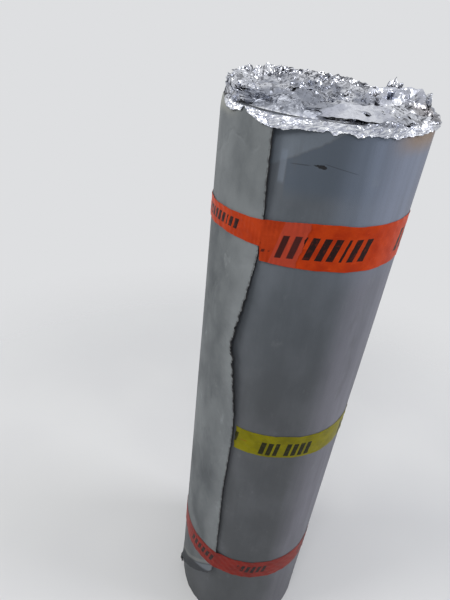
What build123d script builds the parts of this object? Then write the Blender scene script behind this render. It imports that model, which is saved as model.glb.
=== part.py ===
"""Roll of roofing felt, one metre wide, standing on its end and held by three bands of tape."""

import os
from math import acos, degrees, floor

from build123d import *

# The felt, wound into a roll
felt_width = 1000.0
roll_diameter = 256.0
bore_diameter = 60.0
felt_thickness = 2.0
turn_gap = 0.4  # air wound in between one turn and the next
gap_depth = 4.0  # how deep that gap is cut into both ends
gap_end_angle = -8.0  # where the gap stops, short of the free edge
free_edge_angle = -118.0  # direction of the outer turn's free edge, from +X

# The outer turn's free edge, as (distance beside a plumb line, share of the felt's width up),
# from the top down. The edge is torn in the middle of the roll.
free_edge = [
    (-6.0, 1.0),
    (-3.5, 0.9),
    (-4.5, 0.838),
    (-12.0, 0.774),
    (-19.0, 0.729),
    (-22.5, 0.704),
    (-16.0, 0.679),
    (-12.0, 0.648),
    (-3.5, 0.58),
    (-1.5, 0.538),
    (-4.0, 0.4),
    (-2.0, 0.321),
    (-0.5, 0.23),
]
# The missing lower corner, as (distance beside the same line, height)
torn_corner = [(-3.0, 160.0), (-20.0, 138.0), (-45.0, 112.0), (-80.0, 76.0), (-108.0, 34.0), (-119.0, 0.0)]
edge_margin = 4.0  # how far the torn-off piece reaches past the sheet

# The release film's edge, which stands out of the upper end and folds over its rim
film_bore_margin = 8.0  # ring of bare felt between the bore and the film
film_low_height = 10.0
film_high_height = 26.0
film_high_side = 125.0  # direction of the side where the film stands highest, from +X
film_lip_height = 12.0
film_lip_thickness = 1.5
film_clearance = 0.3

# The tapes
tape_thickness = 0.5
upper_tape_width = 57.0
upper_tape_drop = 105.0  # from the felt's upper end down to the tape
narrow_tape_width = 29.0
narrow_tape_rise = 19.0  # from the wide stretch's lower edge up to the narrow one's
narrow_tape_sweep = 100.0  # how far the narrow stretch runs back from the free edge
middle_tape_width = 45.0
middle_tape_rise = 15.0  # from the middle of the felt's width up to the tape
middle_tape_start = 0.5
middle_tape_end = 280.0
lower_tape_width = 50.0
lower_tape_rise = 172.0  # from the felt's lower end up to the tape

# Worked out from the sizes above
roll_radius = roll_diameter / 2
bore_radius = bore_diameter / 2
turn_pitch = felt_thickness + turn_gap
edge_radius = roll_radius - turn_pitch  # surface just past the free edge
quarter_growth = turn_pitch / 4
gap_start_angle = -360 * ((edge_radius - bore_radius) / turn_pitch - 1)
upper_tape_bottom = felt_width - upper_tape_drop - upper_tape_width
narrow_tape_bottom = upper_tape_bottom + narrow_tape_rise
middle_tape_bottom = felt_width / 2 + middle_tape_rise


def direction(angle):
    """Unit vector at an angle counted counter-clockwise from the free edge."""
    return Vector(1, 0).rotate(Axis.Z, free_edge_angle + angle)


# The spiral is made of quarter circles about the four corners of a small square
spiral_centres = [
    Vector(0, 0),
    direction(90) * -quarter_growth,
    (direction(90) + direction(180)) * -quarter_growth,
    direction(180) * -quarter_growth,
]


def quarter_radius(quarter, height):
    """Radius of one quarter circle of the spiral, at a height above the felt's outer face."""
    return edge_radius + quarter * quarter_growth + height


def spiral_point(height, angle):
    """Point above the felt's outer face at an angle past the free edge."""
    quarter = floor(angle / 90)
    return spiral_centres[quarter % 4] + direction(angle) * quarter_radius(quarter, height)


def spiral(height, start, end):
    """Tangent arcs along the felt's outer face, at a height above it, between two angles."""
    arcs = []
    for quarter in range(floor(start / 90), 1 + floor(end / 90)):
        first = max(start, 90 * quarter)
        last = min(end, 90 * (quarter + 1))
        if last > first:
            centre = spiral_centres[quarter % 4]
            radius = quarter_radius(quarter, height)
            arc = CenterArc(centre, radius, free_edge_angle + first, last - first, mode=Mode.PRIVATE)
            arcs.append(arc)
    return arcs


def strip(low, high, start, end):
    """Outline of a strip that lies along the spiral between two heights and two angles."""
    start_line = Line(spiral_point(low, start), spiral_point(high, start), mode=Mode.PRIVATE)
    end_line = Line(spiral_point(low, end), spiral_point(high, end), mode=Mode.PRIVATE)
    return spiral(low, start, end) + spiral(high, start, end) + [start_line, end_line]


def tight_loop(height):
    """Outline of a tape pulled tight round the roll, straight where it bridges the free edge."""
    below = edge_radius + height
    above = roll_radius + height
    landing = degrees(acos(below / above))
    bridge = Line(direction(0) * above, spiral_point(height, landing), mode=Mode.PRIVATE)
    return spiral(height, landing, 360) + [bridge]


# The piece of the outer turn that is missing beside the free edge and at its lower corner
edge_plane = Plane(origin=(0, 0, 0), x_dir=direction(90), z_dir=direction(0))
free_edge_points = [(beside, share * felt_width) for beside, share in free_edge]
with BuildPart() as torn_off:
    with BuildSketch(edge_plane):
        with BuildLine():
            Polyline(
                *free_edge_points,
                *torn_corner,
                (torn_corner[-1][0], -edge_margin),
                (edge_margin, -edge_margin),
                (edge_margin, felt_width + edge_margin),
                (free_edge[0][0], felt_width + edge_margin),
                close=True,
            )
        make_face()
    extrude(amount=roll_diameter)
    with Locations((0, 0, -edge_margin)):
        Cylinder(
            radius=edge_radius,
            height=felt_width + 2 * edge_margin,
            align=(Align.CENTER, Align.CENTER, Align.MIN),
            mode=Mode.SUBTRACT,
        )

# The gap between the turns, as it is cut into one end
with BuildPart() as turn_gap_cut:
    with BuildSketch():
        with BuildLine():
            add(strip(0, turn_gap, gap_start_angle, gap_end_angle))
        make_face()
    extrude(amount=gap_depth)

# The roll: one spiral outline with its bore, and the gap between its turns on both ends
with BuildPart() as felt_roll:
    with BuildSketch():
        with BuildLine():
            add(spiral(0, 0, 360))
            Line(spiral_point(0, 0), direction(0) * roll_radius)
        make_face()
        Circle(bore_radius, mode=Mode.SUBTRACT)
    extrude(amount=felt_width)
    with Locations((0, 0, 0), (0, 0, felt_width - gap_depth)):
        add(turn_gap_cut.part, mode=Mode.SUBTRACT)
    add(torn_off.part, mode=Mode.SUBTRACT)

# The film's edge: a soft ring with a lip over the rim, its top sloping from side to side
film_inner_radius = bore_radius + film_bore_margin
film_outer_radius = roll_radius + film_clearance + film_lip_thickness
film_top = felt_width + film_high_height
with BuildPart() as film_edge:
    with BuildSketch(Plane.XZ):
        with BuildLine():
            Polyline(
                (film_inner_radius, felt_width),
                (film_inner_radius, film_top),
                (film_outer_radius, film_top),
                (film_outer_radius, felt_width - film_lip_height),
                (roll_radius + film_clearance, felt_width - film_lip_height),
                (roll_radius + film_clearance, felt_width),
                close=True,
            )
        make_face()
    revolve(axis=Axis.Z)
    high_side = Vector(1, 0).rotate(Axis.Z, film_high_side)
    high_point = high_side * film_outer_radius + Vector(0, 0, film_top)
    low_point = high_side * -film_outer_radius + Vector(0, 0, felt_width + film_low_height)
    upward = (high_point - low_point).cross(Vector(0, 0, 1).cross(high_side))
    split(bisect_by=Plane(low_point, z_dir=upward), keep=Keep.BOTTOM)

# The upper tape: wide on the turn beside the free edge, and narrow where it crosses the wrap
with BuildPart() as tape_upper:
    with BuildSketch(Plane.XY.offset(upper_tape_bottom)):
        with BuildLine():
            add(tight_loop(tape_thickness))
        make_face()
        with BuildLine():
            add(tight_loop(0))
        make_face(mode=Mode.SUBTRACT)
    extrude(amount=upper_tape_width)
    for bottom, top in (
        (upper_tape_bottom, narrow_tape_bottom),
        (narrow_tape_bottom + narrow_tape_width, upper_tape_bottom + upper_tape_width),
    ):
        with BuildSketch(Plane.XY.offset(bottom)):
            with BuildLine():
                Polyline(
                    (0, 0),
                    direction(0) * roll_diameter,
                    direction(-narrow_tape_sweep / 2) * roll_diameter * 2,
                    direction(-narrow_tape_sweep) * roll_diameter,
                    close=True,
                )
            make_face()
        extrude(amount=top - bottom, mode=Mode.SUBTRACT)

# The middle tape: it comes out from under the free edge and ends at the back
with BuildPart() as tape_middle:
    with BuildSketch(Plane.XY.offset(middle_tape_bottom)):
        with BuildLine():
            add(strip(0, tape_thickness, middle_tape_start, middle_tape_end))
        make_face()
    extrude(amount=middle_tape_width)

# The lower tape: one loop round the roll, over the free edge
with BuildPart() as tape_lower:
    with BuildSketch(Plane.XY.offset(lower_tape_rise)):
        with BuildLine():
            add(tight_loop(tape_thickness))
        make_face()
        with BuildLine():
            add(tight_loop(0))
        make_face(mode=Mode.SUBTRACT)
    extrude(amount=lower_tape_width)

felt_roll.part.label = "felt_roll"
film_edge.part.label = "film_edge"
tape_upper.part.label = "tape_upper"
tape_middle.part.label = "tape_middle"
tape_lower.part.label = "tape_lower"

os.makedirs("parts", exist_ok=True)
export_step(felt_roll.part, "parts/felt_roll.step")
export_step(film_edge.part, "parts/film_edge.step")
export_step(tape_upper.part, "parts/tape_upper.step")
export_step(tape_middle.part, "parts/tape_middle.step")
export_step(tape_lower.part, "parts/tape_lower.step")
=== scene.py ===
from math import pi, radians

import bpy
import numpy as np
from mathutils import Euler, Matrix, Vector


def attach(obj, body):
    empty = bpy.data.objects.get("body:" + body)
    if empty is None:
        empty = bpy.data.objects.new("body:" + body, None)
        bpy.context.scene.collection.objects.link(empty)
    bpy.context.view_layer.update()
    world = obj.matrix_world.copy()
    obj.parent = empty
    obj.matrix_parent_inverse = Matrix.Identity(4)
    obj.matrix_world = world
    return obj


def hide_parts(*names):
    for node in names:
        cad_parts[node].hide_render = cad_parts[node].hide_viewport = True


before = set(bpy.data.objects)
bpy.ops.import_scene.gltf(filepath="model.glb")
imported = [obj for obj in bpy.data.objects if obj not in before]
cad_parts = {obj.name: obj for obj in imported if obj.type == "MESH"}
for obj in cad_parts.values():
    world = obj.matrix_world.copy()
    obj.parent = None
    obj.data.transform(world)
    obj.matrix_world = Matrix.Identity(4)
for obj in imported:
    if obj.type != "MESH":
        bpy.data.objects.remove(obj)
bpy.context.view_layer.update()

# The camera stands close in front of the roll, a little above its upper end, and looks down at it.
# Its place, its tilt and its lens were fitted to outlines that are one metre high.
CAMERA_PLACE = (-0.0989, -0.6007, 1.0803)
CAMERA_PITCH = 31.78
CAMERA_HEADING = 0.27
CAMERA_ROLL = 6.38
CAMERA_LENS = 27.66
camera_data = bpy.data.cameras.new("camera")
camera_data.lens = CAMERA_LENS
camera_data.sensor_width = 36
camera_data.clip_start = 0.01
camera = bpy.data.objects.new("camera", camera_data)
bpy.context.scene.collection.objects.link(camera)
camera.location = CAMERA_PLACE
turn = Euler((0, 0, radians(-CAMERA_HEADING))).to_matrix()
tilt = Euler((radians(90 - CAMERA_PITCH), 0, 0)).to_matrix()
spin = Euler((0, 0, radians(CAMERA_ROLL))).to_matrix()
camera.rotation_euler = (turn @ tilt @ spin).to_euler()
bpy.context.scene.camera = camera

# The outer turn of the felt: a 2 mm sheet of bitumen with a grey facing, wound counter-clockwise.
# Its free edge is torn and stands off a little, and its lower corner is missing and flares out.
FELT_WIDTH = 1.0
FELT_THICKNESS = 0.002
TURN_GAP = 0.0004
TURN_PITCH = FELT_THICKNESS + TURN_GAP
ROLL_RADIUS = 0.128
BORE_RADIUS = 0.03
EDGE_RADIUS = ROLL_RADIUS - TURN_PITCH
FREE_EDGE_ANGLE = -118
OUTER_TURN_START = -80
OUTER_ROWS = 410
# Columns of the outer turn, as (number, angle past the free edge): they lie closest beside that edge
OUTER_COLUMNS = ((0, -80), (8, 0), (38, 110), (64, 300), (86, 345), (116, 360))
# The free edge and the torn corner, as (height, distance beside a plumb line), from the bottom up
FREE_EDGE = (
    (0.160, -0.003), (0.230, -0.0005), (0.321, -0.002), (0.400, -0.004), (0.538, -0.0015),
    (0.580, -0.0035), (0.648, -0.012), (0.679, -0.016), (0.704, -0.0225), (0.729, -0.019),
    (0.774, -0.012), (0.838, -0.0045), (0.900, -0.0035), (1.000, -0.006),
)
TORN_CORNER = (
    (0.0, -0.124), (0.048, -0.114), (0.064, -0.098), (0.084, -0.075), (0.112, -0.045), (0.138, -0.020),
    (0.150, -0.008), (0.160, -0.003),
)
# How far the free edge stands off the turn below, as (height, distance)
STAND_OFF = (
    (0.160, 0.0030), (0.172, 0.0012), (0.222, 0.0012), (0.300, 0.0030), (0.420, 0.0036),
    (0.520, 0.0034), (0.600, 0.0046), (0.660, 0.0066), (0.720, 0.0070), (0.780, 0.0048),
    (0.830, 0.0018), (0.895, 0.0016), (0.930, 0.0054), (1.000, 0.0074),
)
STAND_OFF_REACH = 0.032
FLARE = 0.006
FLARE_REACH = 0.011
FLARE_FADE = 0.02  # the flare fades out over this height at the foot
# The dent beside the tear
DENT_ANGLE = -138
DENT_HEIGHT = 0.704
DENT_DEPTH = 0.0016


def curve_through(points, at):
    """Values of a piecewise straight curve through (place, value) points."""
    places, values = zip(*points)
    return np.interp(at, places, values)


def ragged(height, size):
    """A torn edge's small, sharp unevenness along its height."""
    teeth = np.abs((height * 61 + 0.8 * np.sin(height * 190)) % 1 - 0.5) * 4 - 1
    waves = np.sin(height * 313 + 1.0) + 0.7 * np.sin(height * 711 + 4.0) + 0.5 * np.sin(height * 1370 + 2.0)
    return size * (0.5 * waves + 0.6 * teeth)


def slackness(angle, height):
    """How far the felt leaves a true spiral: soft flats, slack creases and a dent beside the tear."""
    way = np.radians(angle)
    flats = 0.0005 * np.sin(3 * way + 1.3 + 1.2 * height) + 0.0003 * np.sin(7 * way + 4 * height)
    creases = 0.0003 * np.sin(19 * way + 2.5 * np.sin(5 * height)) * np.sin(9 * height + 2 * way)
    beside_dent = (angle - DENT_ANGLE + 180) % 360 - 180
    dent = -DENT_DEPTH * np.exp(-((beside_dent / 7) ** 2) - ((height - DENT_HEIGHT) / 0.030) ** 2)
    return flats + creases + dent


def felt_radius(past_edge, height):
    """Radius of the felt's outer face at an angle past the free edge and a height."""
    return EDGE_RADIUS + TURN_PITCH * past_edge / 360 + slackness(past_edge + FREE_EDGE_ANGLE, height)


def at_direction(radius, way, height):
    """Points at a radius, a direction from +X in radians and a height."""
    return np.stack([radius * np.cos(way), radius * np.sin(way), height], -1)


def on_roll(radius, past_edge, height):
    """Points at a radius, an angle past the free edge and a height."""
    return at_direction(radius, np.radians(past_edge + FREE_EDGE_ANGLE), height)


def flat_sheet(name, columns, rows):
    """A grid primitive, and how far along and across it each of its points lies, from 0 to 1."""
    bpy.ops.object.select_all(action="DESELECT")
    bpy.ops.mesh.primitive_grid_add(x_subdivisions=columns, y_subdivisions=rows, size=2)
    sheet = bpy.context.object
    sheet.name = name
    places = np.empty(len(sheet.data.vertices) * 3)
    sheet.data.vertices.foreach_get("co", places)
    places = places.reshape(-1, 3)
    return sheet, (places[:, 0] + 1) / 2, (places[:, 1] + 1) / 2


def lay(sheet, points, flat_places):
    """Puts a sheet's points in place, and keeps where they lay on the flat stock, in metres, as UVs."""
    sheet.data.vertices.foreach_set("co", np.asarray(points, float).ravel())
    corners = np.empty(len(sheet.data.loops), int)
    sheet.data.loops.foreach_get("vertex_index", corners)
    sheet.data.uv_layers.active.data.foreach_set("uv", np.stack(flat_places, -1)[corners].ravel())
    sheet.data.update()


def keep_at_points(piece, name, values):
    """Keeps a value at each point of a piece, as an attribute that its material reads."""
    attribute = piece.data.attributes.new(name, "FLOAT", "POINT")
    attribute.data.foreach_set("value", np.asarray(values, float))


def give_thickness(piece, thickness, offset=-1.0, rim_material=0):
    """Turns a sheet into a closed solid, grown to the inside of its face by default."""
    bpy.context.view_layer.objects.active = piece
    wall = piece.modifiers.new("thickness", "SOLIDIFY")
    wall.thickness = thickness
    wall.offset = offset
    wall.material_offset_rim = rim_material
    bpy.ops.object.modifier_apply(modifier=wall.name)


def shade_smooth(piece, angle):
    """Smooth shading over everything flatter than an angle in degrees."""
    bpy.ops.object.select_all(action="DESELECT")
    piece.select_set(True)
    bpy.context.view_layer.objects.active = piece
    bpy.ops.object.shade_smooth_by_angle(angle=radians(angle))


class Shade:
    """One output of a shader node, on which sums can be written."""

    def __init__(self, tree, socket):
        self.tree = tree
        self.socket = socket

    def node(self, kind, settings=None, output=0, **values):
        """A new node with its settings, and its sockets' values or links, named or as i0, i1 and so on."""
        made = self.tree.nodes.new(kind)
        for name, value in (settings or {}).items():
            setattr(made, name, value)
        for name, value in values.items():
            number = name[1:] if name[0] == "i" else ""
            socket = made.inputs[int(number) if number.isdigit() else name.replace("_", " ")]
            if isinstance(value, Shade):
                self.tree.links.new(value.socket, socket)
            else:
                socket.default_value = value
        return Shade(self.tree, made.outputs[output])

    def maths(self, operation, first, second=0.0):
        return self.node("ShaderNodeMath", {"operation": operation}, i0=first, i1=second)

    def __add__(self, other):
        return self.maths("ADD", self, other)

    def __radd__(self, other):
        return self.maths("ADD", other, self)

    def __sub__(self, other):
        return self.maths("SUBTRACT", self, other)

    def __rsub__(self, other):
        return self.maths("SUBTRACT", other, self)

    def __mul__(self, other):
        return self.maths("MULTIPLY", self, other)

    def __rmul__(self, other):
        return self.maths("MULTIPLY", other, self)

    def absolute(self):
        return self.maths("ABSOLUTE", self)

    def largest(self, other):
        return self.maths("MAXIMUM", self, other)

    def ramp(self, low, high):
        """0 where this is below the low value, 1 above the high one, and a soft step between them."""
        smooth = {"interpolation_type": "SMOOTHSTEP"}
        return self.node("ShaderNodeMapRange", smooth, Value=self, From_Min=low, From_Max=high)

    def inside(self, low, high, soft):
        """1 between two values and 0 outside them."""
        return self.ramp(low - soft, low + soft) * (1 - self.ramp(high - soft, high + soft))

    def line(self, inner, outer):
        """1 within a small distance of zero and 0 past a larger one."""
        return 1 - self.absolute().ramp(inner, outer)

    def noise(self, scale, detail=3.0, roughness=0.55, distortion=0.0):
        """Noise at a scale, on this as its coordinates."""
        settled = dict(Scale=scale, Detail=detail, Roughness=roughness, Distortion=distortion)
        return self.node("ShaderNodeTexNoise", Vector=self, **settled)

    def stretched(self, x, y, z, shift=(0, 0, 0)):
        """These coordinates, scaled on each axis."""
        return self.node("ShaderNodeMapping", Vector=self, Scale=(x, y, z), Location=shift)

    def axis(self, number):
        """One of the three parts of these coordinates."""
        return self.node("ShaderNodeSeparateXYZ", output=number, Vector=self)

    def distance(self, place=(0, 0, 0)):
        """How far these coordinates are from a place."""
        return self.node("ShaderNodeVectorMath", {"operation": "DISTANCE"}, output=1, i0=self, i1=place)

    def mix(self, low, high):
        """A colour from one to another, by this as the share of the second."""
        return self.node("ShaderNodeMix", {"data_type": "RGBA"}, output=2, Factor=self, i6=low, i7=high)


def finish_of(name, roughness, **constants):
    """A new material, its shader, and its object and flat-stock coordinates."""
    material = bpy.data.materials.new(name)
    material.use_nodes = True
    tree = material.node_tree
    shader = tree.nodes["Principled BSDF"]
    shader.inputs["Roughness"].default_value = roughness
    for socket, value in constants.items():
        shader.inputs[socket.replace("_", " ")].default_value = value
    places = Shade(tree, tree.nodes.new("ShaderNodeTexCoord").outputs["Object"])
    stock = Shade(tree, tree.nodes.new("ShaderNodeUVMap").outputs["UV"])
    return material, shader, places, stock


def srgb(red, green, blue):
    """A colour given in 0 to 255, as the shader takes it."""
    parts = [part / 255 for part in (red, green, blue)]
    return tuple(part / 12.92 if part < 0.04045 else ((part + 0.055) / 1.055) ** 2.4 for part in parts) + (1,)


def set_bump(shader, height, strength, distance):
    """Feeds a height through a bump node to a shader's normal."""
    bump = height.node("ShaderNodeBump", Height=height, Strength=strength, Distance=distance)
    bump.tree.links.new(bump.socket, shader.inputs["Normal"])


def set_socket(shader, name, value):
    """Links a value or a colour to one of a shader's sockets."""
    value.tree.links.new(value.socket, shader.inputs[name])


# The facing: fine sand pressed into bitumen, bluish, and rubbed paler and greener on the wrap.
# A painted shadow with a slanting border, painted light above it, a gouge and a rust stain lie under the
# upper rim.
facing, shader, places, stock = finish_of("felt_facing", 0.68, Specular_IOR_Level=0.35)
around = stock.axis(0)
level = stock.axis(1)
broad = places.noise(4.0, 2.0)
cloudy = places.stretched(1, 1, 0.6).noise(18.0, 4.0)
grain = places.noise(850.0, 2.0, 0.7)
streaks = places.stretched(1, 1, 0.08).noise(60.0, 3.0)
hairlines = places.stretched(1, 1, 0.05).noise(260.0, 2.0, 0.6)
tone = (0.40 * broad + 0.46 * cloudy + 0.10 * streaks + 0.04 * hairlines).ramp(0.38, 0.62)
wrap_tone = (0.35 * broad + 0.60 * cloudy + 0.05 * streaks).ramp(0.40, 0.60)
bluish = tone.mix(srgb(78, 83, 89), srgb(93, 98, 105))
greenish = wrap_tone.mix(srgb(74, 78, 81), srgb(103, 107, 109))
on_wrap = around.ramp(0.56, 0.64)
# The stock is greyer lower down. The painted shadow's border slants up from where it starts, at
# (past the edge of the turn above, height).
greyer = (1 - on_wrap) * (1 - level.ramp(0.55, 0.85))
BORDER_START = (0.008, 0.956)
BORDER_SLOPE = 0.6
border = BORDER_START[1] + (around - BORDER_START[0]) * BORDER_SLOPE + 0.012 * (cloudy - 0.5)
border = border + 0.004 * (places.noise(190.0, 3.0) - 0.5)
# A painted shadow below the slanting border, and painted light above it
painted_shadow_ends = (around + 0.01 * (cloudy - 0.5)).inside(0.0122, 0.26, 0.0012)
painted_shadow = (border - level).ramp(-0.0008, 0.0016) * painted_shadow_ends * level.ramp(0.912, 0.936)
painted_light_above_shadow = (level - border).ramp(-0.001, 0.003) * around.inside(-0.02, 0.12, 0.02)
# Painted light in a pale strip between the free edge's shadow and the painted shadow
paled = around.inside(0.004, 0.0112, 0.0010) * (level + 0.004 * (cloudy - 0.5)).inside(0.934, 0.968, 0.003)
# The roll's right flank has a painted lilac reflection, with painted bluish sheen above, and is rusty
# next to the rim
painted_lilac_reflection = around.inside(0.12, 0.22, 0.03) * (0.6 + 0.4 * streaks.ramp(0.25, 0.75))
painted_sheen = around.inside(0.085, 0.20, 0.03) * level.ramp(0.80, 0.90) * (0.7 + 0.3 * streaks.ramp(0.3, 0.7))
rust = around.inside(0.135, 0.21, 0.025) * (level + 0.014 * cloudy).ramp(0.972, 0.996)
# A gouge with a thin tail on its left and a scratch on its right, and fine scratches across them.
# Each lies on a line through a place, as (past the edge of the turn above, height).
GOUGE_PLACE = (0.039, 0.9572)
SCRATCH_PLACE = (0.054, 0.9592)
TAIL_PLACE = (0.039, 0.9563)
FINE_SCRATCHES_PLACE = (0.075, 0.92)
gouge_way = level - GOUGE_PLACE[1] + 0.09 * (around - GOUGE_PLACE[0])
gouge_way = gouge_way + 0.0030 * (places.noise(420.0, 3.0) - 0.5)
gouge_width = 0.0024 * around.ramp(0.036, 0.050) * (1 - around.ramp(0.0515, 0.0560)) - 0.0004
gouge = (gouge_width - gouge_way.absolute()).ramp(-0.0003, 0.0004)
scratch_way = level - SCRATCH_PLACE[1] + 0.2 * (around - SCRATCH_PLACE[0])
scratch = scratch_way.line(0.0002, 0.0007) * around.inside(0.052, 0.088, 0.003)
tail_way = level - TAIL_PLACE[1] - 0.04 * (around - TAIL_PLACE[0])
tail = tail_way.line(0.0002, 0.0009) * around.inside(0.017, 0.036, 0.003)
marks = gouge.largest(0.4 * scratch + 0.45 * tail)
crossing = (around - FINE_SCRATCHES_PLACE[0]) * 0.75 + (level - FINE_SCRATCHES_PLACE[1])
fine_scratches = crossing * 900.0 + 5.0 * cloudy + 2.0 * hairlines
fine_scratches = fine_scratches.maths("PINGPONG", fine_scratches, 1.0).ramp(0.88, 1.0)
fine_scratches = fine_scratches * around.inside(0.050, 0.125, 0.015) * level.inside(0.905, 0.965, 0.01)
# Wear all over: the wrap is rubbed pale in broad blotches, and softly creased
scuffs = places.stretched(1, 1, 0.6).noise(34.0, 6.0, 0.72).ramp(0.58, 0.74)
smears = places.stretched(1.0, 1.0, 0.25).noise(26.0, 5.0, 0.65).ramp(0.60, 0.72)
blotches = places.stretched(1, 1, 0.7).noise(9.0, 2.0, 0.4).ramp(0.46, 0.66)
soft_folds = (places.stretched(1, 1, 0.8).noise(13.0, 3.0, 0.5, 0.6) - 0.5).line(0.0, 0.05)
soft_folds = soft_folds * on_wrap * broad.ramp(0.40, 0.60)
# The missing corner's border: the sheet is bent there, with painted shadow along it and a painted
# highlight on a crease above it and on its tip. The wrap next to the free edge gets painted light.
torn = stock.node("ShaderNodeAttribute", {"attribute_name": "torn_corner"}, output=2)
near_end = stock.node("ShaderNodeAttribute", {"attribute_name": "free_edge"}, output=2)
painted_corner_shade = 1 - torn.ramp(0.50, 0.62)
painted_tip_highlight = painted_corner_shade * (level + 0.05 * (torn - 0.3)).ramp(0.130, 0.146)
painted_tip_highlight = painted_tip_highlight * (1 - torn.ramp(0.42, 0.60)) * torn.ramp(0.04, 0.14)
# Painted light on the wrap next to the lifted free edge
painted_light_by_edge = near_end.ramp(0.55, 0.95) * (1 - painted_corner_shade) * (1 - level.ramp(0.88, 0.95))
frayed = near_end.ramp(0.965, 0.985) * places.noise(240.0, 3.0).ramp(0.4, 0.55)
# A painted highlight on the wrap's upper edge, where it is pressed in under the film
painted_shoulder_highlight = around.inside(0.655, 0.735, 0.02) * (level + 0.008 * cloudy).ramp(0.984, 0.998)
# Painted shade, darker towards the foot
painted_foot_shade = 1 - (level + 0.10 * (cloudy - 0.5)).ramp(0.02, 0.36)
colour = on_wrap.mix(bluish, greenish)
for share, tint in (
    (greyer * 0.7, tone.mix(srgb(72, 73, 75), srgb(88, 89, 92))),
    # Painted shadow under the rim, and painted light above its border
    (painted_shadow * 0.8, srgb(76, 85, 97)),
    (painted_light_above_shadow * 0.55, srgb(112, 121, 132)),
    # Painted light in the strip beside the free edge
    (paled * 0.45, srgb(120, 130, 144)),
    # Painted reflection on the right flank, and painted sheen above it
    (painted_lilac_reflection * 0.58, srgb(138, 136, 148)),
    (painted_sheen * 0.62, srgb(126, 137, 157)),
    (rust * 0.75, srgb(142, 118, 92)),
    (marks, srgb(16, 17, 22)),
    (fine_scratches * cloudy.ramp(0.45, 0.6) * 0.25, srgb(150, 158, 172)),
    (grain.ramp(0.55, 0.75) * 0.3, srgb(76, 80, 85)),
    (scuffs * (0.12 + 0.24 * on_wrap), srgb(158, 162, 164)),
    (smears * 0.3, srgb(82, 84, 86)),
    (blotches * on_wrap * 0.24, srgb(134, 138, 140)),
    # Painted shadow along the missing corner, a painted highlight on the crease above it, and on its tip
    (painted_corner_shade * 0.92, srgb(30, 33, 40)),
    (torn.inside(0.62, 0.84, 0.06) * 0.4, srgb(146, 146, 142)),
    (painted_tip_highlight * 0.75, srgb(122, 128, 136)),
    # Painted light next to the free edge
    (painted_light_by_edge * 0.35, srgb(136, 140, 142)),
    (frayed * 0.7, srgb(60, 60, 62)),
    # Painted highlight on the wrap's upper edge
    (painted_shoulder_highlight * 0.55, srgb(150, 150, 143)),
    # Painted shade towards the foot
    (painted_foot_shade * 0.45, srgb(52, 54, 55)),
):
    colour = share.mix(colour, tint)
set_socket(shader, "Base Color", colour)
relief = 0.5 * grain + 2.4 * cloudy + 0.5 * streaks + 0.2 * hairlines - 1.0 * gouge - 1.6 * soft_folds
set_bump(shader, relief, 0.5, 0.0006)

# The bitumen itself, black and dull-glossy, on the cut edges and the back of the sheet
bitumen, shader, places, stock = finish_of("felt_bitumen", 0.5, Specular_IOR_Level=0.4)
tar = places.noise(160.0, 4.0)
set_socket(shader, "Base Color", tar.ramp(0.35, 0.7).mix(srgb(16, 16, 18), srgb(40, 39, 40)))
set_bump(shader, tar, 0.6, 0.0006)

# The sheet itself: it is drawn out between the place where its stretching starts and the torn edge
STRETCH_START = 230
TEAR_HEIGHT = 0.70
TEAR_REACH = 0.085
SHOULDER_ANGLE = 314
SHOULDER_REACH = 20
SHOULDER_DEPTH = 0.0035
outer_turn, along, up = flat_sheet("felt_outer_turn", OUTER_COLUMNS[-1][0], OUTER_ROWS)
height = FELT_WIDTH * up
tear = np.exp(-(((height - TEAR_HEIGHT) / TEAR_REACH) ** 2))
edge_above = curve_through(FREE_EDGE, height) + ragged(height, 0.0005 + 0.0013 * tear)
edge_below = curve_through(TORN_CORNER, height) + ragged(height, 0.0006)
edge_offset = np.where(height > TORN_CORNER[-1][0], edge_above, edge_below)
sheet_end = 360 + np.degrees(edge_offset / ROLL_RADIUS)
past_edge = curve_through(OUTER_COLUMNS, along * OUTER_COLUMNS[-1][0])
share = np.clip((past_edge - STRETCH_START) / (360 - STRETCH_START), 0, 1)
past_edge = np.where(share > 0, STRETCH_START + share * (sheet_end - STRETCH_START), past_edge)
from_edge = np.radians(sheet_end - past_edge) * ROLL_RADIUS
corner_line = [(beside, corner_rise) for corner_rise, beside in TORN_CORNER]
corner_along, corner_up = zip((-0.300, -0.25), *corner_line)
corner_height = np.interp(np.radians(past_edge - 360) * ROLL_RADIUS, corner_along, corner_up)
above_corner = np.where(past_edge > STRETCH_START, height - corner_height, 1.0)
stand_off = curve_through(STAND_OFF, height) * np.clip(1 - from_edge / STAND_OFF_REACH, 0, 1) ** 2
flare = FLARE * np.exp(-np.clip(above_corner, 0, 1) / FLARE_REACH) * np.clip(height / FLARE_FADE, 0, 1)
# Below the film the wrap's upper edge is pressed in
pressed = np.exp(-(((past_edge - SHOULDER_ANGLE) / SHOULDER_REACH) ** 2))
pressed = pressed * np.clip((height - 0.984) / 0.016, 0, 1) ** 2
radius = felt_radius(past_edge, height) + np.maximum(stand_off, flare) - SHOULDER_DEPTH * pressed
lay(outer_turn, on_roll(radius, past_edge, height), (np.radians(past_edge) * ROLL_RADIUS, height))
# How near each point lies to the missing corner (0 is on it, 1 is 40 mm above) and to the free edge
# (1 is on it, 0 is 80 mm away)
CORNER_BAND = 0.04
EDGE_BAND = 0.08
corner_share = np.where(past_edge > STRETCH_START, np.clip(above_corner / CORNER_BAND, 0, 1), 1.0)
keep_at_points(outer_turn, "torn_corner", corner_share)
keep_at_points(outer_turn, "free_edge", np.clip(1 - from_edge / EDGE_BAND, 0, 1))
outer_turn.data.materials.append(facing)
outer_turn.data.materials.append(bitumen)
give_thickness(outer_turn, FELT_THICKNESS, rim_material=1)
shade_smooth(outer_turn, 50)
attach(outer_turn, "root")
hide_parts("felt_roll")

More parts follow.
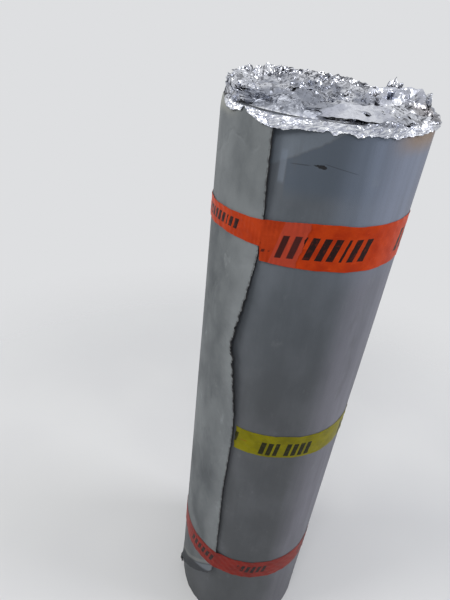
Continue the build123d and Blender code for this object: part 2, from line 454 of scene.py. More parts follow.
# The turns below it: the same sheet wound down to a bore of 60 mm, with air between the turns.
# No core is left in the bore, and the turns end a little unevenly above and below.
INNER_COLUMNS_A_TURN = 72
INNER_END = OUTER_TURN_START - 0.5
SLACK_FADE = 720  # over how many degrees the turns below get tight
inner_turns_count = (EDGE_RADIUS - FELT_THICKNESS - BORE_RADIUS) / TURN_PITCH
inner_start = -360 * inner_turns_count
inner_columns = int(INNER_COLUMNS_A_TURN * inner_turns_count)
inner_turns, along, up = flat_sheet("felt_inner_turns", inner_columns, 2)
past_edge = inner_start + along * (INNER_END - inner_start)
uneven = 0.0005 + 0.0005 * np.sin(past_edge * 0.021) * np.sin(past_edge * 0.0073 + 1)
height = uneven + up * (FELT_WIDTH - uneven - 0.0006 - 0.0006 * np.sin(past_edge * 0.013 + 2))
fade = np.clip((past_edge - (INNER_END - SLACK_FADE)) / SLACK_FADE, 0, 1)
slack = slackness(past_edge + FREE_EDGE_ANGLE, height) * fade
radius = EDGE_RADIUS + TURN_PITCH * past_edge / 360 + slack
lay(inner_turns, on_roll(radius, past_edge, height), (np.radians(past_edge) * radius, height))
keep_at_points(inner_turns, "torn_corner", np.ones_like(up))
inner_turns.data.materials.append(facing)
inner_turns.data.materials.append(bitumen)
give_thickness(inner_turns, FELT_THICKNESS, rim_material=1)
shade_smooth(inner_turns, 50)
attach(inner_turns, "root")
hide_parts("felt_roll")

# The tapes: thin printed plastic, pulled tight round the roll and pressed down by hand.
# The upper one is narrow where it crosses the wrap, opens out past the free edge, and ends on the wide one.
TAPE_THICKNESS = 0.0002
TAPE_RISE = 0.0003
TAPE_WRINKLES = 0.00035
LAST_STRETCH = 300  # angle from which the outer turn nears its free edge


def wrinkles(past_edge, height, size):
    """Small creases that run across a tape and slantwise."""
    way = np.radians(past_edge)
    across = np.sin(64 * way + 30 * np.sin(3 * way)) * np.sin(90 * height + 11 * way)
    slant = np.abs(np.sin(23 * way + 190 * height)) ** 6
    lengthwise = np.abs(np.sin(260 * height + 1.5 * np.sin(9 * way))) ** 8 * np.abs(np.sin(5 * way))
    return size * (0.5 * across + slant + 0.7 * lengthwise)


def wrap_radius(past_edge, height):
    """Radius of what a tape lies on: the outer turn, and a straight bridge past its free edge."""
    edge_reach = curve_through(STAND_OFF, height)
    past = np.where(past_edge > LAST_STRETCH, past_edge - 360, 0)
    edge_at = np.degrees(curve_through(FREE_EDGE, height) / ROLL_RADIUS)
    top = felt_radius(360 + edge_at, height) + edge_reach
    below = felt_radius(np.maximum(past, 0), height)
    landing = np.degrees(np.arccos(np.clip(below / top, 0, 1)))
    bridge = below / np.cos(np.radians(np.clip(landing - (past - edge_at), 0, 60)))
    from_edge = np.radians(edge_at - past) * ROLL_RADIUS
    plain = felt_radius(past_edge, height)
    lifted = plain + edge_reach * np.clip(1 - from_edge / STAND_OFF_REACH, 0, 1) ** 2
    return np.where(past_edge <= LAST_STRETCH, plain, np.where(past > edge_at, bridge, lifted))


def tape(name, start, end, lower_edge, upper_edge, rise, columns, rows, finish, node, slants=(0, 0)):
    """A strip of tape between two angles past the free edge, its edges given as (angle, height)."""
    strip, along, up = flat_sheet(name, columns, rows)
    ends_at = [start + slants[0] * (0.5 - up), end + slants[1] * (0.5 - up)]
    ends_at[0] = ends_at[0] + 0.35 * np.sin(up * 17) + 0.25 * np.sin(up * 43)
    ends_at[1] = ends_at[1] + 0.35 * np.sin(up * 14 + 2) + 0.25 * np.sin(up * 37)
    past_edge = ends_at[0] + along * (ends_at[1] - ends_at[0])
    waver = 0.0004 * np.sin(past_edge * 0.11 + columns) + 0.0002 * np.sin(past_edge * 0.37)
    bottom = curve_through(lower_edge, past_edge) + waver
    top = curve_through(upper_edge, past_edge) + waver + 0.0002 * np.sin(past_edge * 0.23)
    height = bottom + (top - bottom) * up
    radius = wrap_radius(past_edge, height) + rise + wrinkles(past_edge, height, TAPE_WRINKLES)
    print_level = height - curve_through(upper_edge, past_edge)
    lay(strip, on_roll(radius, past_edge, height), (np.radians(past_edge) * ROLL_RADIUS, print_level))
    strip.data.materials.append(finish)
    give_thickness(strip, TAPE_THICKNESS, offset=1.0)
    shade_smooth(strip, 40)
    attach(strip, "root")
    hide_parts(node)


def tape_finish(name, low, high, ink, bars, bottom, top, repeat, slant, first_bar=0.0, marks=()):
    """Glossy printed plastic: a colour that varies, rubbed patches, painted sheen along creases, and groups
    of plain slanted bars.
    """
    material, shader, places, stock = finish_of(name, 0.42, Specular_IOR_Level=0.10)
    worn = places.noise(45.0, 4.0)
    colour = worn.ramp(0.3, 0.7).mix(low, high)
    # Painted sheen: lighter streaks along the creases
    painted_crease_sheen = places.stretched(1, 1, 2.5).noise(90.0, 4.0, 0.6).ramp(0.58, 0.74) * 0.3
    colour = painted_crease_sheen.mix(colour, tuple(min(1.4 * part + 0.01, 1) for part in high[:3]) + (1,))
    level = stock.axis(1)
    across = stock.axis(0)
    slanted = across - first_bar - slant * level
    slanted = slanted.maths("FLOORED_MODULO", slanted, repeat)
    printed = None
    for start, end in bars:
        bar = slanted.inside(start, end, 0.0003)
        printed = bar if printed is None else printed + bar
    printed = printed * level.inside(bottom, top, 0.0003)
    paled = places.noise(260.0, 3.0).ramp(0.34, 0.5) * 0.12 + 0.86
    colour = (printed * paled).mix(colour, ink)
    for start, end, low_level, high_level, tint, share in marks:
        mark = (across - slant * level).inside(start, end, 0.0008)
        mark = mark * level.inside(low_level, high_level, 0.0006)
        colour = (mark * share).mix(colour, tint)
    set_socket(shader, "Base Color", colour)
    set_bump(shader, places.stretched(1, 1, 0.3).noise(120.0, 3.0), 0.35, 0.0006)
    return material


INK = srgb(26, 20, 20)
YELLOW_INK = srgb(30, 30, 14)
# Where each group's bars start and end along its tape
WIDE_BARS = (
    (0.018, 0.0262), (0.0325, 0.0408), (0.047, 0.055), (0.0605, 0.069), (0.0745, 0.083),
    (0.088, 0.0965), (0.1035, 0.107), (0.113, 0.1215), (0.1275, 0.136),
)
NARROW_BARS = (
    (0.000, 0.0062), (0.0095, 0.0157), (0.019, 0.0252), (0.0285, 0.0347), (0.038, 0.0442),
    (0.0475, 0.0537), (0.058, 0.0605), (0.064, 0.0702), (0.0735, 0.080),
)
YELLOW_BARS = (
    (0.0465, 0.054), (0.0575, 0.065), (0.0685, 0.075), (0.086, 0.0935), (0.097, 0.1045),
    (0.108, 0.1155), (0.119, 0.1265),
)
LOWER_BARS = (
    (0.046, 0.0525), (0.0565, 0.063), (0.067, 0.0735), (0.0775, 0.084), (0.088, 0.0945),
    (0.0985, 0.105),
)
wide_orange = tape_finish(
    "wide_orange_tape", srgb(168, 47, 9), srgb(190, 62, 15), INK, WIDE_BARS,
    bottom=-0.044, top=-0.016, repeat=0.178, slant=0.3,
)
# Where the crossing tape lies on the wide one, it is paler and the bars below show through it. Its
# marks are (start, end, bottom, top, colour, share).
EDGE_WAY = 2 * pi * ROLL_RADIUS
crossing_orange = tape_finish(
    "crossing_orange_tape", srgb(152, 46, 14), srgb(170, 57, 20), INK, NARROW_BARS,
    bottom=-0.021, top=-0.008, repeat=0.178, slant=0.25, first_bar=0.690,
    marks=(
        (EDGE_WAY + 0.022, EDGE_WAY + 0.060, -0.060, 0.002, srgb(172, 66, 48), 0.75),
        (EDGE_WAY + 0.0262, EDGE_WAY + 0.0338, -0.044, -0.016, srgb(44, 22, 22), 0.95),
        (EDGE_WAY + 0.0400, EDGE_WAY + 0.0480, -0.044, -0.016, srgb(56, 28, 28), 0.95),
        (EDGE_WAY + 0.0085, EDGE_WAY + 0.0125, -0.0385, -0.0350, INK, 0.8),
        (EDGE_WAY + 0.0165, EDGE_WAY + 0.0185, -0.0378, -0.0360, INK, 0.6),
    ),
)
# The tape's own yellow, painted darker part of the way towards its shade: partly painted shade
yellow = tape_finish(
    "yellow_tape", srgb(112, 106, 0), srgb(132, 125, 0), YELLOW_INK, YELLOW_BARS,
    bottom=-0.041, top=-0.015, repeat=0.150, slant=0.15,
    marks=(
        (0.014, 0.024, -0.0225, -0.0212, srgb(140, 70, 20), 0.7),
        (0.0005, 0.0085, -0.030, -0.010, YELLOW_INK, 0.85),
    ),
)
# An orange tape, painted darker than the upper one: painted shade
lower_orange_with_painted_shade = tape_finish(
    "lower_orange_tape", srgb(112, 22, 12), srgb(130, 28, 15), INK, LOWER_BARS,
    bottom=-0.034, top=-0.014, repeat=0.140, slant=0.25,
)

tape(
    "tape_upper_wide", 9.4, 262,
    lower_edge=((0, 0.838), (262, 0.838)),
    upper_edge=((0, 0.890), (25, 0.895), (262, 0.895)),
    rise=TAPE_RISE, columns=300, rows=16, slants=(-3.8, 3.0),
    finish=wide_orange, node="tape_upper",
)
# The crossing piece is tucked in along the free edge below the narrow stretch
tape(
    "tape_upper_crossing", 255, 380.6,
    lower_edge=((255, 0.851), (300, 0.849), (330, 0.855), (358.6, 0.8565), (359.4, 0.838), (380, 0.838)),
    upper_edge=((255, 0.880), (300, 0.878), (330, 0.8835), (358, 0.8885), (380, 0.8945)),
    rise=TAPE_RISE + 0.0006, columns=420, rows=20, slants=(2.0, -4.7),
    finish=crossing_orange, node="tape_upper",
)
tape(
    "tape_middle_yellow", 0.5, 280,
    lower_edge=((0, 0.515), (280, 0.515)),
    upper_edge=((0, 0.560), (280, 0.560)),
    rise=TAPE_RISE, columns=300, rows=14, slants=(0, 4.0),
    finish=yellow, node="tape_middle",
)
tape(
    "tape_lower_over", 20, 384,
    lower_edge=((0, 0.172), (384, 0.172)),
    upper_edge=((0, 0.222), (384, 0.222)),
    rise=TAPE_RISE, columns=420, rows=14, slants=(3.0, 2.0),
    finish=lower_orange_with_painted_shade, node="tape_lower",
)

# The release film: thin silver film that was wound in with the felt and stands out of its end.
# It is crumpled all over and leans outwards, and its innermost turns fall in over the bore.
FILM_THICKNESS = 0.0002
FILM_STEP = 0.0021
FILM_ROWS = 12
FILM_CURL = 0.012
FILM_ROOT = 0.001  # how far down between the turns of felt the film starts
INNER_TURN_RADII = np.arange(0.0395, 0.0840, 0.0040)
OUTER_TURN_RADII = np.arange(0.0858, 0.1195, 0.0038)
# How high the film stands, as (direction, height), and the gap inside the outermost turns, as
# (direction, radius) and (direction, half of its width)
FILM_HEIGHT = (
    (-180, 0.026), (-165, 0.025), (-145, 0.012), (-118, 0.009), (-90, 0.009), (-50, 0.011), (-20, 0.013),
    (0, 0.017), (20, 0.021), (35, 0.025), (50, 0.024), (70, 0.022), (90, 0.024), (120, 0.027), (150, 0.030),
    (165, 0.027), (180, 0.026),
)
GAP_RADIUS = (
    (-180, 0.110), (-152, 0.1145), (-138, 0.122), (-84, 0.1225), (-76, 0.118), (-66, 0.112), (-50, 0.105),
    (180, 0.110),
)
GAP_HALF_WIDTH = (
    (-180, 0.003), (-167, 0.007), (-152, 0.0085), (-138, 0.0085), (-122, 0.0055), (-108, 0.0025),
    (-86, 0.0020), (-78, 0.0008), (-70, 0.0), (170, 0.0), (180, 0.002),
)
GAP_REACH = 0.014
# Sides of the roll where the film differs, each as (direction, degrees that it falls off over)
FAR_SIDE = (118, 52)
RIGHT_SIDE = (0, 42)
NEAR_SIDE = (-95, 70)
UPRIGHT_SIDE = (-126, 26)
RIGHT_HOLLOW = (-10, 26)
UNDER_PLATE = (-70, 34)
LOW_INSIDE = (140, 45)
FRONT_RIM = (-112, 40)
SHOULDER_SIDE = (-176, 24)
FINE_CREASES = (120, 55)
LARGE_FOLDS = (5, 42)
# The creases that all the film shares: lengths, directions and pushes of straight folds
CREASE_COUNT = 15
LONGEST_CREASE = 0.042
SHORTEST_CREASE = 0.0052
CREASE_DEPTH = 0.105  # share of its length
film_random = np.random.default_rng(7)
creases = []
for number in range(CREASE_COUNT):
    crease_length = LONGEST_CREASE * (SHORTEST_CREASE / LONGEST_CREASE) ** (number / (CREASE_COUNT - 1))
    crease_way, crease_push = film_random.normal(size=(2, 3)) * ((1, 1, 0.7), (0.9, 0.9, 1.2))
    creases.append((
        crease_length,
        crease_way / np.linalg.norm(crease_way),
        crease_push / np.linalg.norm(crease_push),
        film_random.normal(size=3) * 45,
        film_random.normal(size=3) * 80,
        film_random.uniform(0, 6, 2),
    ))


def side(angle, middle, width):
    """1 towards one side of the roll, falling off over a number of degrees."""
    return np.exp(-((((angle - middle + 180) % 360 - 180) / width) ** 2))


def rises(value, start, width):
    """0 up to a start and 1 from a width beyond it, with a straight slope between them."""
    return np.clip((value - start) / width, 0, 1)


def falls(value, end, width):
    """1 up to a width short of an end and 0 from there on, with a straight slope between them."""
    return np.clip((end - value) / width, 0, 1)


def at_front_rim(angle):
    """1 over the front of the rim, where the outermost turn parts from the next one, and 0 elsewhere."""
    return rises(side(angle, *FRONT_RIM), 0.3, 0.3)


def zigzag(phase):
    """A sharp fold for each whole step of a phase, from -1 to 1."""
    return np.abs((phase % 1) * 2 - 1) * 2 - 1


def crumpled(points, angle):
    """How far the creases push each point: finely on the far side, and in larger folds elsewhere."""
    far = side(angle, *FINE_CREASES)
    right = side(angle, *LARGE_FOLDS)
    total = np.zeros_like(points)
    for length, way, push, bend, spread, starts in creases:
        fold = zigzag(points @ way / length + 0.35 * np.sin(points @ bend) + starts[0])
        strength = 0.65 + 0.35 * np.sin(points @ spread + starts[1])
        fine = falls(length, 0.018, 0.012)
        weight = fine * (0.55 + 1.1 * far) + (1 - fine) * (1.15 + 0.9 * right - 0.1 * far)
        total += (fold * strength * weight * length * CREASE_DEPTH)[:, None] * push
    return total


def small_pushes(shape, size, along):
    """Small random pushes, the same where the two ends of a turn meet."""
    pushes = film_random.normal(size=shape) * size
    pushes[along > 0.9999] = pushes[along < 0.0001]
    return pushes


def pleats(way, rise, base):
    """Narrow upright folds, slanting a little, that go in and out from -1 to 1."""
    bends = 0.3 * np.sin(23 * way)
    total = 0
    for count, share in ((83, 0.6), (131, 0.5), (199, 0.3)):
        phase = count * way / (2 * pi) + 0.5 * np.sin(9 * way + count) + bends + 90 * rise + 9 * base
        total = total + share * zigzag(phase)
    return total


def film_sheet(sheet, points, flat_places):
    """Lays a sheet of film, closes it where its two ends meet, and gives it its thickness."""
    lay(sheet, points, flat_places)
    sheet.data.materials.append(film_finish)
    bpy.ops.object.select_all(action="DESELECT")
    sheet.select_set(True)
    bpy.context.view_layer.objects.active = sheet
    bpy.ops.object.mode_set(mode="EDIT")
    bpy.ops.mesh.select_all(action="SELECT")
    bpy.ops.mesh.remove_doubles(threshold=0.00002)
    bpy.ops.object.mode_set(mode="OBJECT")
    give_thickness(sheet, FILM_THICKNESS, offset=0.0)
    return sheet


def joined(name, sheets):
    """Joins sheets of film into one named piece, which stands for the solid ring of film."""
    bpy.ops.object.select_all(action="DESELECT")
    for sheet in sheets:
        sheet.select_set(True)
    bpy.context.view_layer.objects.active = sheets[0]
    if len(sheets) > 1:
        bpy.ops.object.join()
    piece = sheets[0]
    piece.name = name
    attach(piece, "root")
    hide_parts("film_edge")


def film_turn(name, base):
    """One turn of film at a radius: it comes up between two turns of felt and curls over."""
    sheet, along, up = flat_sheet(name, int(2 * pi * base / FILM_STEP), FILM_ROWS)
    angle = -180 + 360 * (along % 1)
    way = np.radians(angle)
    starts = film_random.uniform(0, 6, 4)
    far = side(angle, *FAR_SIDE)
    right = side(angle, *RIGHT_SIDE)
    near = side(angle, *NEAR_SIDE)
    upright = side(angle, *UPRIGHT_SIDE) * np.exp(-(((base - 0.100) / 0.011) ** 2))
    lean = 1.15 + 0.25 * np.sin(2 * way + starts[0]) + 0.25 * np.sin(5 * way + starts[1])
    lean = lean * (1 - far) + far * np.clip(1.3 - base / 0.1, 0.15, 1.0)
    lean = lean * (1 - right) + right * (0.35 + 0.8 * np.sin(3 * way + 48 * base))
    lean = lean * (1 - upright) + upright * 0.12
    # The innermost turns fall inwards, over the bore
    inner = falls(base, 0.058 + 0.010 * np.sin(2 * way + 2) + 0.005 * np.sin(5 * way), 0.012)
    inner = inner * (1 - 0.85 * far)
    lean = lean * (1 - inner) - inner * (1.15 + 0.15 * np.sin(3 * way + starts[2]))
    # In front the outermost turns bulge and fall inwards
    bulge = at_front_rim(angle) * rises(base, 0.1040, 0.004)
    lean = lean * (1 - bulge) - bulge * (1.10 + 0.25 * np.sin(7 * way + starts[1]))
    lean = np.where(np.abs(lean) < 0.02, 0.02, lean)
    length = 0.022 + 0.004 * np.sin(4 * way + starts[2]) + 0.003 * np.sin(11 * way + starts[3])
    length = length + 0.010 * far + 0.006 * right + 0.0015 * np.sin(37 * way + starts[0])
    length = length + (0.010 + 0.012 * near) * inner
    place = up * length
    bent_share = np.minimum(place, FILM_CURL) / FILM_CURL
    beyond = np.maximum(place - FILM_CURL, 0)
    out = FILM_CURL * (1 - np.cos(lean * bent_share)) / lean + beyond * np.sin(lean)
    rise = FILM_CURL * np.sin(lean * bent_share) / lean + beyond * np.cos(lean)
    # The most that it may rise: less inside the far slope, in the hollow on the right and under the flat part
    most = curve_through(FILM_HEIGHT, angle) * (1 + 0.35 * far) * (0.65 + 0.35 * rises(base, 0.06, 0.045))
    most = most * (1 - 0.55 * far * (1 - rises(base, 0.108, 0.008)))
    most = most + upright * 0.006 + 0.004 * near * inner
    hollow = side(angle, *RIGHT_HOLLOW) * falls(base, 0.118, 0.008) * rises(base, 0.042, 0.01)
    most = most * (1 - 0.6 * hollow)
    covered = rises(side(angle, *UNDER_PLATE), 0.3, 0.2) * rises(base, 0.094, 0.004)
    most = most * (1 - 0.64 * covered)
    most = most * (1 - 0.5 * side(angle, *LOW_INSIDE) * falls(base, 0.078, 0.010))
    rise = most * (1 - np.exp(-np.maximum(rise, 0) * 1.4 / most))
    gap_at = curve_through(GAP_RADIUS, angle)
    parted = curve_through(GAP_HALF_WIDTH, angle) * np.where(base > gap_at, 1, -1)
    parted = parted * np.exp(-np.abs(base - gap_at) / GAP_REACH)
    radius = base + out + parted * rises(rise, 0, 0.003)
    reach = 0.1235 - 0.0028 * at_front_rim(angle) - 0.0050 * side(angle, *SHOULDER_SIDE)
    radius = np.minimum(radius, reach + 0.3 * np.maximum(radius - reach, 0))
    pleat_depth = 0.0005 + 0.0016 * far + 0.0004 * upright
    radius = radius + pleats(way, rise, base) * pleat_depth * np.clip(up * 1.5, 0, 1)
    points = at_direction(radius, way, FELT_WIDTH - FILM_ROOT + rise)
    firm = (rises(rise, 0, 0.004) * (1 - 0.65 * covered))[:, None]
    pushes = small_pushes(points.shape, 0.0002, along)
    calm_top = np.stack([np.ones_like(up), np.ones_like(up), 1 - 0.5 * up**3], -1)
    points = points + (crumpled(points, angle) * calm_top + pushes) * firm
    return film_sheet(sheet, points, (2 * pi * along * base, place))


# Bright metal that is dull in patches, with dirt and black specks of bitumen in its creases. It is
# duller inside the roll on the left, brownish on the right, and cleaner on the lip. Painted shade darkens
# the roots of its turns and the valleys of its folds, and painted highlights make the lip paler and
# brighten the far side, the crests of the folds and the flat part.
DULL_PLACE = (-0.045, -0.072, 1.01)
BROWNISH_PLACE = (0.108, -0.045, 1.01)
film_finish, shader, places, stock = finish_of("release_film", 0.25, Metallic=1.0)
dirt = places.noise(120.0, 4.0, 0.6)
patches = places.noise(30.0, 2.0)
on_lip = 1 - places.axis(2).ramp(0.9990, 1.0015)
on_far_side = places.axis(1).ramp(0.02, 0.09)
behind_rim = 1 - places.stretched(1, 1, 0).distance().ramp(0.1205, 0.1225)
dull = (1 - (places.distance(DULL_PLACE) + 0.03 * patches).ramp(0.055, 0.082)) * behind_rim
brownish = 1 - (places.distance(BROWNISH_PLACE) + 0.02 * dirt).ramp(0.026, 0.044)
# Painted shade at the roots of the turns, down between them behind the rim
painted_root_shade = (1 - (places.axis(2) + 0.002 * (dirt - 0.5)).ramp(0.9980, 1.0012)) * behind_rim
# Strokes that slant on the far side, the light ones painted highlights and the dark ones specks, and
# strokes of painted highlight that run along the lip
slanting = stock.node("ShaderNodeCombineXYZ", X=stock.axis(0) + 0.7 * stock.axis(1), Y=0.25 * stock.axis(1))
slants = slanting.noise(330.0, 3.0, 0.6)
along_rim = stock.node("ShaderNodeCombineXYZ", X=0.3 * stock.axis(0), Y=stock.axis(1) + 0.25 * stock.axis(0))
painted_lip_highlights = along_rim.noise(420.0, 3.0, 0.65).ramp(0.40, 0.60)
flecks = places.stretched(1, 1, 0.6).noise(300.0, 3.0, 0.6).ramp(0.56, 0.64)
# The twisted and the flat part say how high they lie on their folds: painted shade fills the valleys,
# and painted highlights lie on the crests and over the middle of the flat part
fold_height = stock.node("ShaderNodeAttribute", {"attribute_name": "fold_height"}, output=2)
painted_valley_shade = 1 - (fold_height + 0.5 * (dirt - 0.5)).ramp(-0.75, -0.10)
crest = (fold_height + 0.7 * (dirt - 0.5)).ramp(0.20, 0.60)
painted_flat_part_highlight = (fold_height + 2.0 * (dirt - 0.5)).ramp(1.05, 1.60)
silver = patches.ramp(0.40, 0.60).mix(srgb(164, 168, 180), srgb(232, 234, 240))
for share, tint in (
    (dirt.ramp(0.51, 0.60) * (0.75 - 0.45 * on_lip), srgb(84, 86, 94)),
    # Painted light: the far side is painted brighter
    (on_far_side * (1 - dirt.ramp(0.42, 0.50)) * 0.6, srgb(246, 247, 252)),
    (dull * 0.8, srgb(146, 150, 160)),
    (brownish * 0.65, srgb(140, 134, 132)),
    # Painted shade at the roots
    (painted_root_shade * 0.85, srgb(38, 38, 42)),
    (on_far_side * slants.ramp(0.49, 0.56) * 0.85, srgb(58, 60, 68)),
    # Painted highlights in slanting strokes on the far side
    (on_far_side * (1 - slants.ramp(0.40, 0.48)) * 0.8, srgb(250, 251, 255)),
    # Painted highlights in strokes along the lip
    (on_lip * 0.75, painted_lip_highlights.mix(srgb(160, 164, 180), srgb(250, 252, 255))),
    # Painted shade in the valleys of the folds, and painted highlights on their crests and over the flat part
    (painted_valley_shade * 0.85, srgb(80, 76, 77)),
    (crest * 0.65, srgb(204, 207, 219)),
    (painted_flat_part_highlight * 0.8, srgb(244, 246, 252)),
    (flecks * (1 - 0.7 * crest) * (0.8 - 0.5 * on_lip - 0.35 * dull), srgb(34, 34, 38)),
):
    silver = share.mix(silver, tint)
set_socket(shader, "Base Color", silver)
roughness = 0.16 + 0.18 * patches.ramp(0.3, 0.7) + 0.2 * dirt.ramp(0.5, 0.7) + 0.30 * dull + 0.12 * on_lip
set_socket(shader, "Roughness", roughness - 0.06 * on_far_side)
set_bump(shader, (places.noise(380.0, 3.0) + 0.8 * dirt) * (1 - 0.5 * dull), 0.5, 0.0006)

turns = [film_turn(f"film_turn_{number}", base) for number, base in enumerate(INNER_TURN_RADII)]
joined("film_inner", turns)
turns = [film_turn(f"film_turn_{number}", base) for number, base in enumerate(OUTER_TURN_RADII)]
joined("film_outer", turns)

# The lip: the outermost turn of the film, folded down over the rim. Its edge is torn into points,
# and it is missing over part of the wrap. LIP_EDGE gives its edge as (direction, height).
LIP_EDGE = (
    (-180, 1.0000), (-163, 0.9995), (-160, 0.9940), (-156, 0.9925), (-149, 0.9935), (-143, 0.9950),
    (-141, 0.9974), (-139, 0.9968), (-137.5, 0.9945), (-132, 0.9910), (-127, 0.9892), (-123, 0.9878),
    (-115, 0.9878), (-109, 0.9895), (-100, 0.9902), (-96, 0.9915), (-93.5, 0.9878), (-91, 0.9912),
    (-87, 0.9920), (-83, 0.9888), (-79, 0.9905), (-71, 0.9908), (-63, 0.9900), (-50, 0.9920), (-33, 0.9940),
    (-10, 0.9905), (15, 0.9925), (40, 0.9900), (75, 0.9930), (100, 0.9895), (125, 0.9920), (150, 0.9930),
    (160, 0.9975), (170, 1.0000), (180, 1.0000),
)
LIP_REST = 0.99  # height at which it rests on the wrap
LIP_FOLD = 0.006
LIP_INSET = 0.003
LIP_CLEARANCE = 0.0006
LOW_INSIDE_LIP = (-130, 22)


def tears(angle, count):
    """Random points of a torn edge round the roll, from -1 to 1."""
    points = np.append(film_random.uniform(-1, 1, count), 0)
    return np.interp(angle, np.linspace(-180, 180, count + 1), points)


lip, along, up = flat_sheet("film_lip", 560, 20)
angle = -180 + 360 * (along % 1)
way = np.radians(angle)
past_edge = (angle - FREE_EDGE_ANGLE) % 360
over_edge = np.where(past_edge < 20, wrap_radius(past_edge + 360, LIP_REST), 0)
rim = np.maximum(wrap_radius(past_edge, LIP_REST), over_edge)
torn_edge = 0.0009 * tears(angle, 240)
torn_edge = torn_edge + 0.0005 * tears(angle, 560)
drop = FELT_WIDTH - curve_through(LIP_EDGE, angle)
covers = rises(drop, 0.0006, 0.003)
drop = np.maximum(drop + torn_edge, 0) * covers
front = at_front_rim(angle)
front_left = rises(side(angle, *LOW_INSIDE_LIP), 0.2, 0.3)
inside = 0.0085 + 0.002 * np.sin(5 * way) - 0.0055 * front
inside = inside * (1 - front_left) + 0.0010 * front_left
crest = (0.0035 + 0.0015 * np.sin(9 * way + 1) + 0.001 * np.sin(21 * way)) * (1 - 0.9 * front)
crest = crest * (1 - front_left)
place = up * (inside + LIP_FOLD * covers + drop)
over = rises(place, inside, LIP_FOLD)
radius = rim + LIP_CLEARANCE - LIP_INSET - LIP_INSET * (1 - covers) - np.maximum(inside - place, 0)
radius = radius + LIP_INSET * np.sin(over * pi / 2)
rise = crest * np.clip(place / inside, 0, 1) ** 0.6 - crest * (1 - np.cos(over * pi / 2))
rise = rise - np.maximum(place - inside - LIP_FOLD, 0)
points = at_direction(radius, way, FELT_WIDTH + rise)
push = crumpled(points, angle)
outward = np.abs(push[:, 0] * np.cos(way) + push[:, 1] * np.sin(way))
outward = outward * 0.6 * np.clip(drop / LIP_FOLD, 0.1, 1)
upward = 0.4 * push[:, 2] * np.clip(1.3 - over, 0.3, 1) * (1 - 0.7 * front)
outward = outward + small_pushes(len(way), 0.00015, along)
points = points + at_direction(outward, way, upward)
joined("film_lip", [film_sheet(lip, points, (way * ROLL_RADIUS, place))])

# The far slope: on the far side the film climbs to the rim in slanting pleats. It is a sheet of
# the same film that lies on the turns there.
SLOPE_START = 46
SLOPE_SWEEP = 168
SLOPE_TOP_RADIUS = 0.1195
slope, along, up = flat_sheet("film_wall", 420, 22)
angle = SLOPE_START + SLOPE_SWEEP * along
way = np.radians(angle)
pleat = 0
for count, share in ((31, 0.9), (57, 0.7), (101, 0.45)):
    phase = count * (way + 0.34 * up + 0.05 * np.sin(9 * way)) / (2 * pi) + 0.3 * np.sin(4 * way + count)
    pleat = pleat + share * zigzag(phase)
ends = np.clip(np.minimum(along, 1 - along) / 0.12, 0, 1)
base = 0.0760 + 0.006 * np.sin(3 * way + 1) + 0.003 * np.sin(11 * way)
radius = base + (SLOPE_TOP_RADIUS - 0.0030 * side(angle, *SHOULDER_SIDE) - base) * up
top = 0.90 * curve_through(FILM_HEIGHT, (angle + 180) % 360 - 180) * (0.35 + 0.65 * ends)
rise = 0.006 + (top - 0.007) * up**1.2 + 0.0008 * np.sin(43 * way) * up
rise = rise + pleat * 0.0021 * np.sin(pi * np.clip(up * 0.8 + 0.15, 0, 1))
radius = radius - pleat * 0.0014
points = at_direction(radius, way, FELT_WIDTH + rise)
points = points + 0.6 * crumpled(points, angle)
joined("film_wall", [film_sheet(slope, points, (way * 0.1, radius))])

# The twisted part: on the right a loose end of film is twisted into curved folds, and lies in a
# hollow of the turns.
TWIST_PLACE = (0.076, -0.014)
TWIST_INNER_RADIUS = 0.002
TWIST_WIDTH = 0.036
TWIST_FOLD = 0.0175
TWIST_LENGTHENED = 1.3
twist, along, up = flat_sheet("film_swirl", 170, 54)
way = 2 * pi * along
away = TWIST_INNER_RADIUS + TWIST_WIDTH * up
phase = away / TWIST_FOLD - along + 0.06 * np.sin(3 * way) + 0.05 * np.sin(5 * way + 2)
fold = 1 - 2 * np.abs((phase % 1) * 2 - 1) ** 1.2
across = TWIST_PLACE[0] + away * np.cos(way)
depth = TWIST_PLACE[1] + away * np.sin(way) * TWIST_LENGTHENED
rise = 0.0145 + 0.0060 * fold + 0.10 * depth - 0.012 * rises(up, 0.75, 0.25) ** 2
points = np.stack([across, depth - 0.0030 * fold, FELT_WIDTH + rise], -1)
points = points + 0.5 * crumpled(points, np.zeros_like(way))
keep_at_points(twist, "fold_height", fold * falls(up, 1, 0.2))
joined("film_swirl", [film_sheet(twist, points, (way * 0.02, away))])

# The bed: a torn part of the film that lies over the bore and between the inner turns, and climbs
# towards the far side.
BED_INNER_RADIUS = 0.0008
BED_WIDTH = 0.0932
BED_RISE_SIDE = (122, 75)
bed, along, up = flat_sheet("film_bed", 160, 34)
way = 2 * pi * along
angle = np.degrees(way)
radius = BED_INNER_RADIUS + BED_WIDTH * up
rise = 0.005 + 0.002 * np.sin(5 * way + 40 * radius) * np.clip(up * 4, 0, 1)
rise = rise + 0.0115 * side(angle, *BED_RISE_SIDE) * np.clip(up * 2.3 - 0.3, 0, 1)
points = at_direction(radius, way, FELT_WIDTH + 0.001 + rise)
points = points + 0.9 * crumpled(points, angle)
joined("film_bed", [film_sheet(bed, points, (way * 0.05, radius))])

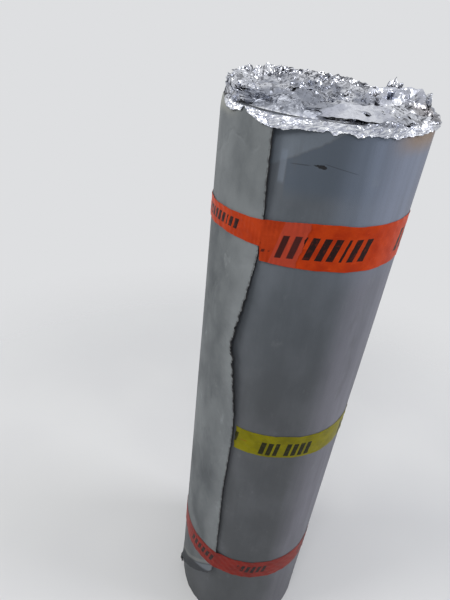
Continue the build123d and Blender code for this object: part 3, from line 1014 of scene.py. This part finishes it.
# The flat part: in front a bright, nearly smooth part of the film lies between the folds and the
# rim. It stands off the lip a little, which leaves a dark line below it.
FLAT_START = -101
FLAT_SWEEP = 62
FLAT_INNER_RADIUS = 0.0960
FLAT_WIDTH = 0.0290
flat_part, along, up = flat_sheet("film_plate", 90, 22)
angle = FLAT_START + FLAT_SWEEP * along + (1 - along) * (4 - 8 * up + 1.5 * np.sin(9 * up))
way = np.radians(angle)
narrowed = 1 - 0.25 * (2 * along - 1) ** 6
radius = FLAT_INNER_RADIUS + (FLAT_WIDTH + 0.0010 * np.sin(31 * along)) * up * narrowed
rise = 0.0125 - 0.0093 * up + 0.0004 * np.sin(13 * along + 5 * up)
points = at_direction(radius, way, FELT_WIDTH + rise)
points = points + 0.36 * crumpled(points, angle)
keep_at_points(flat_part, "fold_height", 1.6 * np.clip(1 - ((along - 0.31) / 0.34) ** 2, 0, 1))
joined("film_plate", [film_sheet(flat_part, points, (way * 0.1, radius))])


def film_scrap(name, angle_from, angle_to, base, height, pinch, bend):
    """A torn scrap of film that stands up on the rim, drawn together towards its top."""
    scrap, along, up = flat_sheet(name, 26, 18)
    middle = (angle_from + angle_to) / 2
    angle = middle + (angle_from + along * (angle_to - angle_from) - middle) * (1 - pinch * up**1.5)
    way = np.radians(angle)
    top = height * (1 - 0.5 * (2 * along - 1) ** 4 + 0.08 * np.sin(17 * along))
    radius = base + bend * np.sin(2.2 * up) + 0.0022 * np.sin(9 * along + 3 * up) * up
    points = at_direction(radius, way, FELT_WIDTH - FILM_ROOT + up * top)
    points = points + 0.8 * crumpled(points, angle) * np.clip(up / 0.3, 0, 1)[:, None]
    return film_sheet(scrap, points, (way * base, up * height))


# Torn scraps of the film: a flap on the left, and three that stand up along the rim, each given
# by its directions, its radius, its height, and how far it narrows and bends.
joined("film_scraps", [
    film_scrap("film_flap", -172, -150, 0.1215, 0.024, 0.45, 0.0020),
    film_scrap("film_scrap_left", -208, -184, 0.1180, 0.024, 0.15, -0.003),
    film_scrap("film_scrap_right", 30, 41, 0.1185, 0.029, 0.10, -0.0040),
    film_scrap("film_scrap_far", 52, 80, 0.1190, 0.018, 0.15, 0.002),
])

# The floor and the light of a plain studio: a pale floor that fades into the background, a broad
# lamp on the left that draws the free edge's shadow, one on the right and a small one in front.
bpy.ops.object.select_all(action="DESELECT")
bpy.ops.mesh.primitive_plane_add(size=4, location=(0, 0, -0.0005))
floor = bpy.context.object
floor.name = "studio_floor"
BACKGROUND = srgb(222, 223, 225)
floor_finish, shader, places, stock = finish_of("studio_floor", 0.85)
set_socket(shader, "Alpha", 1 - places.distance().ramp(0.5, 1.5))
mottle = places.noise(2.0, 2.0).ramp(0.3, 0.7)
set_socket(shader, "Base Color", mottle.mix(srgb(214, 214, 215), srgb(220, 220, 220)))
floor.data.materials.append(floor_finish)


def soft_lamp(name, place, target, size, watts, tint=(1, 1, 1)):
    """A square area lamp that faces a target."""
    data = bpy.data.lights.new(name, "AREA")
    data.size = size
    data.energy = watts
    data.color = tint
    lamp = bpy.data.objects.new(name, data)
    bpy.context.scene.collection.objects.link(lamp)
    lamp.location = place
    lamp.rotation_euler = (Vector(target) - Vector(place)).to_track_quat("-Z", "Y").to_euler()


soft_lamp("left", (-1.8, -0.45, 1.9), (0, 0, 0.75), 1.0, 26, (1.0, 0.99, 0.97))
soft_lamp("right", (1.9, -0.15, 1.7), (0, 0, 0.75), 0.8, 24, (0.97, 0.97, 1.0))
soft_lamp("front", (-0.5, -1.5, 2.4), (0, 0, 0.9), 0.7, 13)
# Straight views and reflections see a plain pale background, and the rest is lit by an even grey sky
world = bpy.data.worlds.new("studio")
world.use_nodes = True
background = world.node_tree.nodes["Background"]
sky = Shade(world.node_tree, world.node_tree.nodes.new("ShaderNodeTexCoord").outputs["Generated"])
RAYS = ("Is Camera Ray", "Is Glossy Ray", "Is Transmission Ray")
straight, reflected, transmitted = [sky.node("ShaderNodeLightPath", output=rays) for rays in RAYS]
seen = straight.largest(reflected).largest(transmitted)
light = sky.axis(2).ramp(-0.1, 0.8).mix((0.36, 0.37, 0.375, 1), (0.475, 0.49, 0.51, 1))
set_socket(background, "Color", seen.mix(light, BACKGROUND))
background.inputs["Strength"].default_value = 1.0
bpy.context.scene.world = world
bpy.context.scene.view_settings.view_transform = "Standard"
